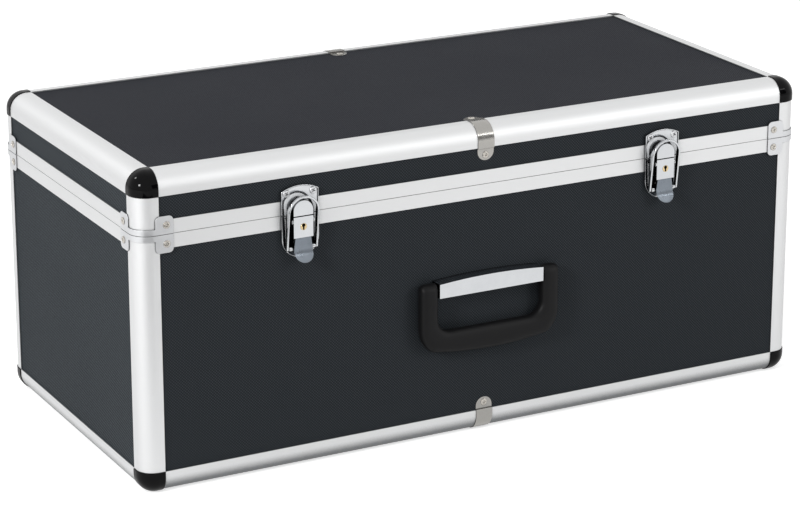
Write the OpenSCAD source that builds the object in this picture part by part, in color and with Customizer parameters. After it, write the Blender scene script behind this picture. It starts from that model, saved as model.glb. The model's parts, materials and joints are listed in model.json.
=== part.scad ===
// Record carrying case: a box of laminated panels held in aluminium edge profiles, with moulded
// corner caps, a lid on two rear hinges, two keyed draw latches and a drop handle on the front.
// X runs along the long front, -Y is the front, +Z is up. The origin is the centre of the
// object's footprint, on the surface that its corner caps stand on.

/* [Case] */
// Length over the edge profiles
case_w = 650; // [560:5:800]
// Depth over the edge profiles, front to back
case_d = 305; // [240:5:400]
// Height of the closed case over the edge profiles
case_h = 280; // [240:5:380]
// Height of the lid above the parting line
lid_h = 52.6; // [46:0.2:80]
// Gap between the lid's and the base's rims when the case is shut
parting_gap = 0.4; // [0.3:0.1:0.8]

/* [Aluminium profiles] */
// Reach of an edge profile over each of its two faces
edge_leg = 20; // [18:0.5:26]
// Outer radius of an edge profile
edge_round = 15; // [10:0.5:16]
// Wall of the profiles
profile_wall = 1.2; // [1:0.1:1.6]
// Height of a rim profile
rim_h = 12; // [11:0.5:16]
// How far a panel enters a rim profile
rim_slot = 5; // [3:0.5:6]
// Thickness of the lid's sealing tongue
tongue_t = 1.6; // [1.2:0.1:1.8]
// How far the tongue reaches below the lid
tongue_drop = 2.5; // [1.5:0.1:3]
// Room round the tongue in the groove
tongue_play = 0.7; // [0.6:0.05:0.9]

/* [Panels and lining] */
// Thickness of a panel with its laminate
panel_t = 4; // [3:0.5:6]
// Clearance on each side of a panel in its slot
slot_fit = 0.1; // [0.05:0.05:0.2]
// Thickness of the foam lining
lining_t = 2.5; // [1.5:0.5:5]

/* [Corner caps] */
// Gap between a cap and the ends of the profiles that meet at it
cap_gap = 0.15; // [0.1:0.05:0.3]
// How far a cap stands proud of the profiles
cap_proud = 0.8; // [0.7:0.1:1.5]
// Clearance between a part and the round of the profile it wraps
wrap_fit = 0.1; // [0.05:0.05:0.2]

/* [Corner brackets and edge clips] */
// Reach of a bracket's leaf from the corner
bracket_reach = 32; // [29:0.5:40]
// Height of a bracket's leaf from the parting line
bracket_h = 15.6; // [14:0.2:20]
// Height of the band that runs round the post
band_h = 5; // [3:0.5:8]
// Sheet thickness of the brackets
sheet_t = 0.9; // [0.6:0.1:1]
// Distance of a bracket's rivets from the corner
bracket_rivet_in = 26; // [24:0.5:30]
// Height of a bracket's rivets from the parting line
bracket_rivet_up = 7.9; // [6:0.1:10]
// Sheet thickness of the edge clips
clip_t = 0.5; // [0.4:0.05:0.6]
// Width of an edge clip
clip_w = 16; // [12:0.5:20]
// Reach of a clip's ear over the panel
clip_ear = 11.5; // [9:0.5:16]
// Distance of a clip's rivet from the profile's lip
clip_rivet_out = 6.5; // [5:0.5:8]

/* [Rivets] */
// Diameter of a rivet's head
rivet_head_d = 6.2; // [5:0.1:7]
// Height of a rivet's head
rivet_head_h = 0.9; // [0.6:0.1:1]
// Diameter of a rivet's shank
rivet_shank_d = 3; // [2.4:0.1:3.4]
// Diametral clearance of a shank in its hole
rivet_fit = 0.1; // [0.05:0.05:0.2]

/* [Hinges] */
// Distance of each hinge from the middle of the back
hinge_x = 190; // [120:5:220]
// Width of a hinge
hinge_w = 45; // [36:1:60]
// Height of a hinge leaf from the parting line
hinge_leaf_h = 24; // [22:1:30]
// Thickness of a hinge leaf
hinge_t = 1.5; // [1.2:0.1:1.8]
// Outer radius of the knuckles
knuckle_r = 3; // [2.6:0.1:3.4]
// Radius of the hinge pin
hinge_pin_r = 1.5; // [1.2:0.1:1.6]
// Radial clearance of every pin in the part that turns on it
pin_fit = 0.05; // [0.02:0.01:0.08]

/* [Handle] */
// Height of the handle's pivot above the case's underside
handle_z = 141; // [110:0.2:170]
// Clear width between the grip's arms
grip_gap = 103.4; // [95:0.2:120]
// Width of one arm
arm_w = 16.6; // [14:0.2:20]
// Drop from the pivot to the underside of the grip bar
grip_drop = 60.2; // [56:0.2:70]
// Height of the grip bar
bar_h = 22; // [18:0.2:25]
// Thickness of the grip, front to back
grip_t = 14; // [13.4:0.2:16]
// Radius of the grip's lower outer corners
grip_corner = 26; // [18:1:30]
// Height of the chrome bracket's face
bracket_face_h = 12.6; // [11:0.2:14]
// Rise of the bracket's arched top edge
bracket_arch = 2.4; // [1:0.2:4]
// Projection of the bracket in front of the case
handle_bracket_out = 12.6; // [11.6:0.2:14]
// Wall of the bracket casting
bracket_wall = 1.4; // [1.2:0.1:2]
// Radius of the handle's pins
handle_pin_r = 2; // [1.6:0.1:2.4]

/* [Latches] */
// Distance of each latch from the middle of the front
latch_x = 178.5; // [120:0.5:220]
// Width of the latch plates
latch_plate_w = 34.5; // [32:0.5:38]
// Thickness of the latch plates
latch_plate_t = 1.2; // [1:0.1:1.2]
// Height of the lid plate over the parting line
keeper_plate_h = 25.4; // [24:0.2:28]
// Height of the arched keeper over the parting line
keeper_h = 13.4; // [12.6:0.2:13.8]
// Width of the keeper and of the lock case
lock_w = 18; // [17:0.1:18.6]
// Projection of the keeper and the lock case
lock_out = 8; // [7.8:0.1:8.2]
// Sheet thickness of the keeper, lock case and lever
latch_sheet = 1; // [0.8:0.1:1]
// Drop from the parting line to the lever's pivot
lever_pivot_drop = 4.6; // [4.5:0.1:4.9]
// Projection of the lever's pivot
lever_pivot_out = 6; // [5.8:0.1:6]
// Drop from the parting line to the lock case's lower edge
lock_case_drop = 18.8; // [18:0.1:20]
// Drop from the parting line to the lock plug
plug_drop = 9.4; // [9.4:0.1:10]
// Radius of the lock plug
plug_r = 3; // [2.6:0.1:3.2]
// Drop from the parting line to the loop's pivot on the lever
loop_pivot_drop = 28.5; // [27.5:0.1:29.5]
// Projection of the loop's pivot
loop_pivot_out = 4; // [3.8:0.1:4.2]
// Height of the loop over the parting line
loop_top = 18; // [17.6:0.1:19]
// Outer width of the loop
loop_w = 29.2; // [28.8:0.1:31]
// Thickness of the loop's strip, seen from the front
loop_t = 2; // [1.6:0.1:2.2]
// Radius of the loop's ends, which turn in the lever
loop_end_r = 1.3; // [1.1:0.05:1.4]
// Clearance between the loop and the keeper that passes behind it
loop_gap = 0.35; // [0.3:0.05:0.6]
// Drop from the parting line to the bend in the thumb tab
tab_bend_drop = 31.9; // [31.6:0.1:34]
// Width of the thumb tab at its top
tab_top_w = 14.4; // [14.2:0.1:15]
// Width of the thumb tab at its round end
tab_end_w = 17.4; // [16.8:0.1:18.6]
// Angle at which the tab's end turns outwards, in degrees
tab_flare = 38; // [30:1:45]

/* [Hidden] */
$fn = 48;

// finishes
ALUMINIUM = "#dcdde0";
LAMINATE = "#2d3033";
PLASTIC = "#1a1a1a";
CHROME = "#d9dadd";
NICKEL = "#9a9894";
FOAM = "#3c3c40";
BRASS = "#c2a050";

left_right = [-1, 1];
front_back = [-1, 1];
tiny = 0.01;                                     // overlap of solids that are one piece

// the profiles
slot_w = panel_t + 2 * slot_fit;                 // slot that holds a panel
face_recess = profile_wall + slot_fit;           // panel face behind the profile's face
panel_back = face_recess + panel_t;              // inner face of a panel
profile_depth = 2 * profile_wall + slot_w;       // profile, from outer to inner face
panel_stop = edge_round + slot_fit;              // panel edge, from the case's outer face
base_h = case_h - lid_h;                         // parting line over the underside
lid_z = base_h + parting_gap;                    // lower face of the lid's rims
panel_in_rim = rim_h - rim_slot + slot_fit;      // panel edge, from the parting line
groove_w = tongue_t + 2 * tongue_play;
groove_d = tongue_drop - parting_gap + tongue_play;
dimple_h = 0.5;                                  // dimple in a rivet's head
cap_leg = edge_leg - cap_gap;                    // reach of a cap along each edge

// the lining
lining_out = profile_depth + slot_fit;           // outer face of the lining
lining_in = lining_out + lining_t;               // inner face of the lining

// how deep the rivets and the latch plates' screws go, from their heads to the panels' backs
bracket_grip = sheet_t + wrap_fit + panel_back;
clip_grip = clip_t + wrap_fit + panel_t;
hinge_grip = hinge_t + panel_back;
latch_grip = latch_plate_t + panel_back;

// the hinges
hinge_off = knuckle_r + 0.3;                     // axis behind the case's back face
leaf_notch = knuckle_r + 0.4;                    // leaf edge clear of the other's knuckle
knuckle_gap = 0.3;                               // between knuckles, along the pin
knuckle_w = hinge_w / 3;
pin_head = 0.8;                                  // thickness of a pin's upset head
hinge_rivet_near = 8;                            // rivets' distances from the parting line
hinge_rivet_far = 18;

// the handle
handle_out = grip_t / 2 - 0.2;                   // pivot in front of the case's face
arm_r = min(handle_out, grip_t / 2) - 0.1;       // round end of an arm
grip_side = grip_gap / 2 + arm_w;                // outer face of an arm from the middle
bracket_half = grip_gap / 2 - 0.3;               // half length of the bracket
bracket_low = -6.2;                              // bracket's lower edge from the pivot
handle_pin_in = 10;                              // pin's engagement in an arm
handle_boss_x = 30;                              // screw bosses from the middle
handle_boss_z = bracket_low + bracket_face_h / 2;
handle_boss_r = 4;
handle_screw_r = 2;
handle_screw_in = 6;                             // screw's length inside a boss
handle_floor = face_recess - 0.1;                // bracket's back edge, on the panel

// the latches
latch_front = -case_d / 2;                       // the rims' front face
latch_screw_x = 12.4;                            // lid plate's screws
latch_screw_up = 19;
latch_rivet_x = 4.2;                             // base plate's rivets, behind the lever
latch_rivet_drop = 24;
latch_rivet_head_d = 5;
loop_half = loop_w / 2;
loop_back = lock_out + loop_gap;                 // back of the loop where the keeper passes it
loop_front = loop_back + 2.6;                    // front of the loop at its top
lever_wall_x = lock_w / 2 - latch_sheet - 1;     // outer face of the lever's side walls
base_plate_drop = tab_bend_drop + 5.4;           // base plate's lower end, from the parting line
base_rim_t = 1;                                  // raised rim round the base plate
base_rim_out = 2;
ear_x = lock_w / 2 + 0.3;                        // inner face of the base's ears
ear_t = 1;
ear_r = 2.2;                                     // round of an ear about the lever's pin
ear_foot = 5;                                    // an ear's foot on the plate, below the pin
ear_foot_out = 2.4;
lever_pin_r = 1;
lever_end_r = 4.1;                               // round end of the side walls on the pivot
plug_collar_r = plug_r + 0.4;
cam_out = 3.2;                                   // projection of the cam's back face
cam_t = 1;
cam_reach = 4.9;
catch_in = 4.1;                                  // inner edge of the catch's overhang
catch_w = 1.6;                                   // the catch, from that edge outwards
catch_t = 0.6;
catch_h = 4;
tab_t = 1;
tab_out = lock_out - latch_sheet - tab_t;        // back face of the tab
tab_end = 1;                                     // straight part of the tab's turned end
tab_mitre = 0.7 * tab_t * tan(tab_flare / 2);    // fills the back of the bend, short of an edge
tab_reach = tab_out + tab_t
          + (tab_end + tab_end_w / 2) * sin(tab_flare);

// how far parts reach beyond the profiles at the front and at the back
front_reach = max(tab_reach, loop_front, handle_out + grip_t / 2);
back_reach = hinge_off + knuckle_r;
depth_shift = (front_reach - back_reach) / 2;    // centres the whole object's footprint

// puts a piece measured from the profiles' box into the object's frame: the footprint of the
// profiles is centred on the origin before this, and their underside is at z = 0
module in_case() {
    translate([0, depth_shift, cap_proud]) children();
}

// ---- profile sections and runs -------------------------------------------------------

// a square corner with its outer edge rounded, the outer faces on the two axes
module rounded_corner(leg, r) {
    translate([r, 0]) square([leg - r, leg]);
    translate([0, r]) square([leg, leg - r]);
    intersection() {
        translate([r, r]) circle(r);
        square(r + tiny);
    }
}

// outer skin, inner angle and two slots for the panels, with a hollow behind the round
module edge_section() {
    core = edge_round - profile_wall;
    difference() {
        rounded_corner(edge_leg, edge_round);
        translate([profile_depth, profile_depth]) square(edge_leg);
        translate([edge_round, profile_wall]) square([edge_leg, slot_w]);
        translate([profile_wall, edge_round]) square([slot_w, edge_leg]);
        difference() {
            intersection() {
                translate([profile_wall, profile_wall])
                    rounded_corner(edge_leg, edge_round - profile_wall);
                square(core);
            }
            translate([profile_wall + slot_w, profile_wall + slot_w]) square(edge_leg);
        }
    }
}

// rim of the base: slot for the panel below, groove for the tongue above; y is 0 at the top
module base_rim_section() {
    difference() {
        translate([0, -rim_h]) square([profile_depth, rim_h]);
        translate([profile_wall, -rim_h - tiny]) square([slot_w, rim_slot + tiny]);
        translate([(profile_depth - groove_w) / 2, -groove_d])
            square([groove_w, groove_d + tiny]);
    }
}

// rim of the lid: slot for the panel above, tongue below; y is 0 at its lower face
module lid_rim_section() {
    difference() {
        square([profile_depth, rim_h]);
        translate([profile_wall, rim_h - rim_slot]) square([slot_w, rim_slot + tiny]);
    }
    translate([(profile_depth - tongue_t) / 2, -tongue_drop])
        square([tongue_t, tongue_drop + tiny]);
}

// extrudes a section along X, its x into the case and its y upwards
module run_x(length) {
    rotate([90, 0, 90]) linear_extrude(length, center = true) children();
}

// extrudes a section along Y, its x into the case and its y upwards
module run_y(length) {
    rotate([90, 0, 0]) linear_extrude(length, center = true) children();
}

// places a piece made for the front (side -1) at the front or back
module at_front_back(side) {
    mirror([0, side > 0 ? 1 : 0, 0]) translate([0, -case_d / 2, 0]) children();
}

// places a piece made for the left (side -1) at the left or right
module at_left_right(side) {
    mirror([side > 0 ? 1 : 0, 0, 0]) translate([-case_w / 2, 0, 0]) children();
}

// places a piece made for the front left corner at all four upright corners
module at_corners() {
    for (side = left_right, end = front_back)
        mirror([side > 0 ? 1 : 0, 0, 0]) mirror([0, end > 0 ? 1 : 0, 0])
            translate([-case_w / 2, -case_d / 2, 0]) children();
}

// turns a piece made for the underside over to the top
module at_top() {
    translate([0, 0, case_h]) mirror([0, 0, 1]) children();
}

module edge_x(side) {
    at_front_back(side) run_x(case_w - 2 * edge_leg) edge_section();
}

module edge_y(side) {
    at_left_right(side) run_y(case_d - 2 * edge_leg) edge_section();
}

module post(height) {
    linear_extrude(height) edge_section();
}

// ---- rivets --------------------------------------------------------------------------

// a domed head on the surface at z = 0 with a dimple, and a shank down through a wall
module rivet(grip, head_d = rivet_head_d) {
    dome_r = (pow(rivet_head_h, 2) + pow(head_d / 2, 2)) / (2 * rivet_head_h);
    difference() {
        union() {
            intersection() {
                translate([0, 0, rivet_head_h - dome_r]) sphere(dome_r);
                cylinder(h = rivet_head_h, d = head_d);
            }
            translate([0, 0, -grip]) cylinder(h = grip + tiny, d = rivet_shank_d);
        }
        translate([0, 0, rivet_head_h - dimple_h]) cylinder(h = 1, d = head_d * 0.3);
    }
}

// the hole that a rivet's shank fills, through whatever lies within its length
module rivet_hole(depth = 20) {
    translate([0, 0, -depth]) cylinder(h = depth + 5, d = rivet_shank_d + rivet_fit);
}

// the two leaves of the bracket at one corner: its rivets stand on the front and the side
module at_bracket_rivets(up) {
    translate([bracket_rivet_in, -wrap_fit - sheet_t, up]) rotate([90, 0, 0]) children();
    translate([-wrap_fit - sheet_t, bracket_rivet_in, up]) rotate([0, -90, 0]) children();
}

// the two ears of a clip on the front lower edge profile
module at_clip_rivets() {
    out = edge_leg + clip_rivet_out;
    face = face_recess - wrap_fit - clip_t;
    translate([0, face, out]) rotate([90, 0, 0]) children();
    translate([0, out, face]) rotate([180, 0, 0]) children();
}

module base_bracket_rivet_places() {
    at_corners() at_bracket_rivets(base_h - bracket_rivet_up) children();
}

module lid_bracket_rivet_places() {
    at_corners() at_bracket_rivets(lid_z + bracket_rivet_up) children();
}

module base_clip_rivet_places() {
    for (side = front_back) at_front_back(side) at_clip_rivets() children();
}

module lid_clip_rivet_places() {
    at_top() base_clip_rivet_places() children();
}

// rivets of both hinges: two near the parting line at the sides, one further off in the middle
module at_hinge_rivets() {
    for (side = left_right) translate([side * hinge_x, case_d / 2 + hinge_t, 0])
        for (p = [[-1, hinge_rivet_near], [1, hinge_rivet_near], [0, hinge_rivet_far]])
            translate([p[0] * hinge_w / 3, 0, p[1]]) rotate([-90, 0, 0]) children();
}

module base_hinge_rivet_places() {
    translate([0, 0, base_h]) mirror([0, 0, 1]) at_hinge_rivets() children();
}

module lid_hinge_rivet_places() {
    translate([0, 0, lid_z]) at_hinge_rivets() children();
}

// the lid plate's two screws and the base plate's two rivets, at each latch
module latch_lid_screw_places() {
    for (latch = left_right) at_latch(latch) for (side = left_right)
        translate([side * latch_screw_x, -latch_plate_t, latch_screw_up])
            rotate([90, 0, 0]) children();
}

module latch_base_rivet_places() {
    for (latch = left_right) at_latch(latch) for (side = left_right)
        translate([side * latch_rivet_x, -latch_plate_t, -latch_rivet_drop])
            rotate([90, 0, 0]) children();
}

module base_rivets() in_case() color(CHROME) {
    base_bracket_rivet_places() rivet(bracket_grip);
    base_clip_rivet_places() rivet(clip_grip);
    base_hinge_rivet_places() rivet(hinge_grip);
    latch_base_rivet_places() rivet(latch_grip, latch_rivet_head_d);
}

module lid_rivets() in_case() color(CHROME) {
    lid_bracket_rivet_places() rivet(bracket_grip);
    lid_clip_rivet_places() rivet(clip_grip);
    lid_hinge_rivet_places() rivet(hinge_grip);
    latch_lid_screw_places() rivet(latch_grip);
}

module base_holes() {
    base_bracket_rivet_places() rivet_hole();
    base_clip_rivet_places() rivet_hole();
    base_hinge_rivet_places() rivet_hole();
    latch_base_rivet_places() rivet_hole();
}

module lid_holes() {
    lid_bracket_rivet_places() rivet_hole();
    lid_clip_rivet_places() rivet_hole();
    lid_hinge_rivet_places() rivet_hole();
    latch_lid_screw_places() rivet_hole();
}

module drilled_base() {
    difference() {
        children();
        base_holes();
    }
}

module drilled_lid() {
    difference() {
        children();
        lid_holes();
    }
}

// ---- panels --------------------------------------------------------------------------

module panel_x(side, low, high) {
    at_front_back(side) translate([panel_stop - case_w / 2, face_recess, low])
        cube([case_w - 2 * panel_stop, panel_t, high - low]);
}

module panel_y(side, low, high) {
    at_left_right(side) translate([face_recess, panel_stop - case_d / 2, low])
        cube([panel_t, case_d - 2 * panel_stop, high - low]);
}

module panel_flat() {
    translate([panel_stop - case_w / 2, panel_stop - case_d / 2, face_recess])
        cube([case_w - 2 * panel_stop, case_d - 2 * panel_stop, panel_t]);
}

base_panel_top = base_h - panel_in_rim;
lid_panel_low = lid_z + panel_in_rim;
lid_panel_top = case_h - panel_stop;

module base_front_panel() in_case() color(LAMINATE) difference() {
    drilled_base() panel_x(-1, panel_stop, base_panel_top);
    at_handle() handle_screw_holes();
}
module base_back_panel() in_case() color(LAMINATE)
    drilled_base() panel_x(1, panel_stop, base_panel_top);
module base_left_panel() in_case() color(LAMINATE)
    drilled_base() panel_y(-1, panel_stop, base_panel_top);
module base_right_panel() in_case() color(LAMINATE)
    drilled_base() panel_y(1, panel_stop, base_panel_top);
module base_bottom_panel() in_case() color(LAMINATE) drilled_base() panel_flat();

module lid_front_panel() in_case() color(LAMINATE)
    drilled_lid() panel_x(-1, lid_panel_low, lid_panel_top);
module lid_back_panel() in_case() color(LAMINATE)
    drilled_lid() panel_x(1, lid_panel_low, lid_panel_top);
module lid_left_panel() in_case() color(LAMINATE)
    drilled_lid() panel_y(-1, lid_panel_low, lid_panel_top);
module lid_right_panel() in_case() color(LAMINATE)
    drilled_lid() panel_y(1, lid_panel_low, lid_panel_top);
module lid_top_panel() in_case() color(LAMINATE) drilled_lid() at_top() panel_flat();

// ---- edge profiles, posts and rims -----------------------------------------------------

module base_front_edge() in_case() color(ALUMINIUM) edge_x(-1);
module base_back_edge() in_case() color(ALUMINIUM) edge_x(1);
module base_left_edge() in_case() color(ALUMINIUM) edge_y(-1);
module base_right_edge() in_case() color(ALUMINIUM) edge_y(1);

module lid_front_edge() in_case() color(ALUMINIUM) at_top() edge_x(-1);
module lid_back_edge() in_case() color(ALUMINIUM) at_top() edge_x(1);
module lid_left_edge() in_case() color(ALUMINIUM) at_top() edge_y(-1);
module lid_right_edge() in_case() color(ALUMINIUM) at_top() edge_y(1);

module base_corner_posts() in_case() color(ALUMINIUM)
    at_corners() translate([0, 0, edge_leg]) post(base_h - edge_leg);
module lid_corner_posts() in_case() color(ALUMINIUM)
    at_corners() translate([0, 0, lid_z]) post(case_h - edge_leg - lid_z);

module rim_x(side) {
    at_front_back(side) run_x(case_w - 2 * edge_leg) children();
}

module rim_y(side) {
    at_left_right(side) run_y(case_d - 2 * edge_leg) children();
}

module base_front_rim() in_case() color(ALUMINIUM)
    drilled_base() translate([0, 0, base_h]) rim_x(-1) base_rim_section();
module base_back_rim() in_case() color(ALUMINIUM)
    drilled_base() translate([0, 0, base_h]) rim_x(1) base_rim_section();
module base_left_rim() in_case() color(ALUMINIUM)
    drilled_base() translate([0, 0, base_h]) rim_y(-1) base_rim_section();
module base_right_rim() in_case() color(ALUMINIUM)
    drilled_base() translate([0, 0, base_h]) rim_y(1) base_rim_section();

module lid_front_rim() in_case() color(ALUMINIUM)
    drilled_lid() translate([0, 0, lid_z]) rim_x(-1) lid_rim_section();
module lid_back_rim() in_case() color(ALUMINIUM)
    drilled_lid() translate([0, 0, lid_z]) rim_x(1) lid_rim_section();
module lid_left_rim() in_case() color(ALUMINIUM)
    drilled_lid() translate([0, 0, lid_z]) rim_y(-1) lid_rim_section();
module lid_right_rim() in_case() color(ALUMINIUM)
    drilled_lid() translate([0, 0, lid_z]) rim_y(1) lid_rim_section();

// ---- corner caps -----------------------------------------------------------------------

// a cube with one corner and its three edges rounded, that corner at the origin
module rounded_octant(size, r) {
    rest = size - r;
    intersection() {
        cube(size);
        union() {
            translate([r, r, 0]) cube([rest, rest, size]);
            translate([r, 0, r]) cube([rest, size, rest]);
            translate([0, r, r]) cube([size, rest, rest]);
            translate([r, r, r]) {
                cylinder(h = rest, r = r);
                rotate([0, 90, 0]) cylinder(h = rest, r = r);
                rotate([-90, 0, 0]) cylinder(h = rest, r = r);
                sphere(r);
            }
        }
    }
}

// the piece of a cap that goes into the hollow of the profile along z
module cap_tongue() {
    tongue_in = 6;                               // reach into the hollow
    across = 0.6 * edge_round;                   // clear of the skin behind the round
    width = 0.26 * edge_round;
    near = profile_wall + 2;
    thick = slot_w - 2.3;
    for (p = [[across, near, width, thick], [near, across, thick, width]])
        translate([p[0], p[1], cap_leg - 1]) cube([p[2], p[3], tongue_in + 1]);
}

// repeats a piece for each of the three edges that meet at the corner
module for_each_edge() {
    for (turn = [[0, 0, 0], [90, 0, 90], [0, -90, -90]]) rotate(turn) children();
}

// moulded cap: a corner block between the profiles' ends, cut away for the lining and slotted
// for the corners of the panels
module corner_cap() {
    difference() {
        union() {
            translate(-cap_proud * [1, 1, 1])
                rounded_octant(cap_leg + cap_proud, edge_round + cap_proud);
            for_each_edge() cap_tongue();
        }
        translate(profile_depth * [1, 1, 1]) cube(edge_leg);
        for_each_edge() translate([edge_round, edge_round, profile_wall])
            cube([edge_leg, edge_leg, slot_w]);
    }
}

module base_corner_caps() in_case() color(PLASTIC) at_corners() corner_cap();
module lid_corner_caps() in_case() color(PLASTIC) at_top() at_corners() corner_cap();

// ---- corner brackets -------------------------------------------------------------------

// one leaf, rounded at its far end, standing up from z = 0 along x
module bracket_leaf() {
    round_r = 4;
    start = edge_round + 1;
    width = bracket_reach - start;
    rotate([90, 0, 0]) linear_extrude(sheet_t) translate([start, 0]) {
        translate([round_r, 0]) square([width - 2 * round_r, bracket_h]);
        square([width, bracket_h - round_r]);
        for (x = [round_r, width - round_r])
            translate([x, bracket_h - round_r]) circle(round_r);
    }
}

// bent sheet over the post at the parting line: a narrow band with a leaf on each face
module corner_bracket() {
    out = wrap_fit + sheet_t;
    end = edge_round + 1;
    linear_extrude(band_h) difference() {
        translate([-out, -out]) rounded_corner(end + 1 + out, edge_round + out);
        translate([-wrap_fit, -wrap_fit])
            rounded_corner(case_d / 2, edge_round + wrap_fit);
    }
    difference() {
        union() {
            translate([0, -wrap_fit, 0]) bracket_leaf();
            translate([-wrap_fit, 0, 0]) mirror([1, -1, 0]) bracket_leaf();
        }
        translate([-end, -end, -1]) cube([2 * end, 2 * end, bracket_h + 2]);
    }
}

module base_corner_brackets() in_case() color(CHROME) drilled_base()
    translate([0, 0, base_h]) mirror([0, 0, 1]) at_corners() corner_bracket();
module lid_corner_brackets() in_case() color(CHROME) drilled_lid()
    translate([0, 0, lid_z]) at_corners() corner_bracket();

// ---- edge clips ------------------------------------------------------------------------

// a clip's ear: a strip with a full round end, from the lip out over the panel
module clip_ear() {
    round_r = clip_w / 2;
    linear_extrude(clip_t) {
        translate([-round_r, edge_leg + wrap_fit])
            square([clip_w, clip_ear - round_r - wrap_fit]);
        intersection() {
            translate([0, edge_leg + clip_ear - round_r]) circle(round_r);
            translate([-clip_w, edge_leg + wrap_fit]) square([2 * clip_w, clip_ear]);
        }
    }
}

// strap bent round the front lower edge profile, with an ear stepped down to each panel
module edge_clip() {
    out = wrap_fit + clip_t;
    end = edge_leg + out;
    ear_face = face_recess - out;
    run_x(clip_w) difference() {
        translate([-out, -out]) rounded_corner(end + out, edge_round + out);
        translate([-wrap_fit, -wrap_fit])
            rounded_corner(edge_leg + 2 * wrap_fit, edge_round + wrap_fit);
        translate([edge_leg, face_recess - wrap_fit]) square(case_d);
        translate([face_recess - wrap_fit, edge_leg]) square(case_d);
    }
    translate([0, 0, ear_face]) clip_ear();
    translate([0, ear_face, 0]) mirror([0, 1, -1]) clip_ear();
}

module base_edge_clips() in_case() color(NICKEL)
    drilled_base() for (side = front_back) at_front_back(side) edge_clip();
module lid_edge_clips() in_case() color(NICKEL)
    drilled_lid() at_top() for (side = front_back) at_front_back(side) edge_clip();

// ---- lining ----------------------------------------------------------------------------

// open tray of foam, its outside against the profiles, from the floor up to a height
module lining_tray(top) {
    inner = 2 * lining_in;
    outer = 2 * lining_out;
    difference() {
        translate([lining_out - case_w / 2, lining_out - case_d / 2, lining_out])
            cube([case_w - outer, case_d - outer, top - lining_out]);
        translate([lining_in - case_w / 2, lining_in - case_d / 2, lining_in])
            cube([case_w - inner, case_d - inner, top]);
    }
}

lining_short = 0.8;                              // lining's edge below the parting line
module base_lining() in_case() color(FOAM) lining_tray(base_h - lining_short);
module lid_lining() in_case() color(FOAM)
    at_top() lining_tray(case_h - lid_z - lining_short);

// ---- hinges ----------------------------------------------------------------------------

// places a piece made at the back face, with the pivot's height as z = 0
module at_hinge(side) {
    translate([side * hinge_x, case_d / 2, base_h + parting_gap / 2]) children();
}

// a leaf below the pivot, with its knuckles at the given thirds and a notch at the others
module hinge_leaf(own, other) {
    difference() {
        union() {
            translate([-hinge_w / 2, 0, -hinge_leaf_h])
                cube([hinge_w, hinge_t, hinge_leaf_h - parting_gap]);
            for (third = own) translate([(third - 0.5) * knuckle_w, 0, 0]) {
                translate([0, 0, -knuckle_r]) cube([knuckle_w, hinge_off, knuckle_r - 1]);
                translate([0, hinge_off, 0]) rotate([0, 90, 0])
                    cylinder(h = knuckle_w, r = knuckle_r);
            }
        }
        for (third = other)
            translate([(third - 0.5) * knuckle_w - knuckle_gap, -1, -leaf_notch])
                cube([knuckle_w + 2 * knuckle_gap, hinge_off + knuckle_r + 2,
                      leaf_notch + knuckle_r + 1]);
        translate([-hinge_w, hinge_off, 0]) rotate([0, 90, 0])
            cylinder(h = 2 * hinge_w, r = hinge_pin_r + pin_fit);
    }
}

module hinge_base_leaf(side) in_case() color(NICKEL)
    drilled_base() at_hinge(side) hinge_leaf([-1, 1], [0]);
module left_hinge_base_leaf() hinge_base_leaf(-1);
module right_hinge_base_leaf() hinge_base_leaf(1);

module hinge_lid_leaves() in_case() color(NICKEL) drilled_lid()
    for (side = left_right) at_hinge(side) mirror([0, 0, 1]) hinge_leaf([0], [-1, 1]);

module hinge_pins() in_case() color(NICKEL)
    for (side = left_right) at_hinge(side) translate([0, hinge_off, 0])
        rotate([0, 90, 0]) {
            length = hinge_w + 2 * knuckle_gap;
            cylinder(h = length, r = hinge_pin_r, center = true);
            for (end = left_right) translate([0, 0, end * (length + pin_head) / 2])
                cylinder(h = pin_head, r = hinge_pin_r + 0.7, center = true);
        }

// ---- handle ----------------------------------------------------------------------------

// puts the handle's pivot line at y = 0 (the case's front face) and z = 0
module at_handle() {
    translate([0, latch_front, handle_z]) children();
}

module handle_screw_holes() {
    for (side = left_right)
        translate([side * handle_boss_x, face_recess - 1, handle_boss_z])
            rotate([-90, 0, 0]) cylinder(h = panel_t + 2, r = handle_screw_r + 0.1);
}

// outline of the bracket's face, its top edge an arc
module bracket_face(inset) {
    half = bracket_half - inset;
    arch_r = (pow(half, 2) + pow(bracket_arch, 2)) / (2 * bracket_arch);
    top = bracket_low + bracket_face_h - inset;
    translate([-half, bracket_low + inset])
        square([2 * half, bracket_face_h - 2 * inset]);
    intersection() {
        translate([0, top + bracket_arch - arch_r]) circle(arch_r, $fn = 96);
        translate([-half, top - 1]) square([2 * half, bracket_arch + 2]);
    }
}

// chromed casting, open at the back, with two screw bosses and a pin hole in each end
module handle_bracket() in_case() color(CHROME) at_handle() {
    depth = handle_bracket_out + handle_floor;
    difference() {
        union() {
            difference() {
                translate([0, handle_floor, 0]) rotate([90, 0, 0])
                    linear_extrude(depth) bracket_face(0);
                translate([0, handle_floor + 1, 0]) rotate([90, 0, 0])
                    linear_extrude(depth + 1 - bracket_wall) bracket_face(bracket_wall);
            }
            for (side = left_right)
                translate([side * handle_boss_x, handle_floor, handle_boss_z])
                    rotate([90, 0, 0]) cylinder(h = depth - tiny, r = handle_boss_r);
        }
        for (side = left_right)
            translate([side * handle_boss_x, handle_floor + 1, handle_boss_z])
                rotate([90, 0, 0]) cylinder(h = handle_screw_in + 2, r = handle_screw_r + 0.1);
        translate([-case_w / 4, -handle_out, 0]) rotate([0, 90, 0])
            cylinder(h = case_w / 2, r = handle_pin_r + pin_fit);
    }
}

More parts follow.
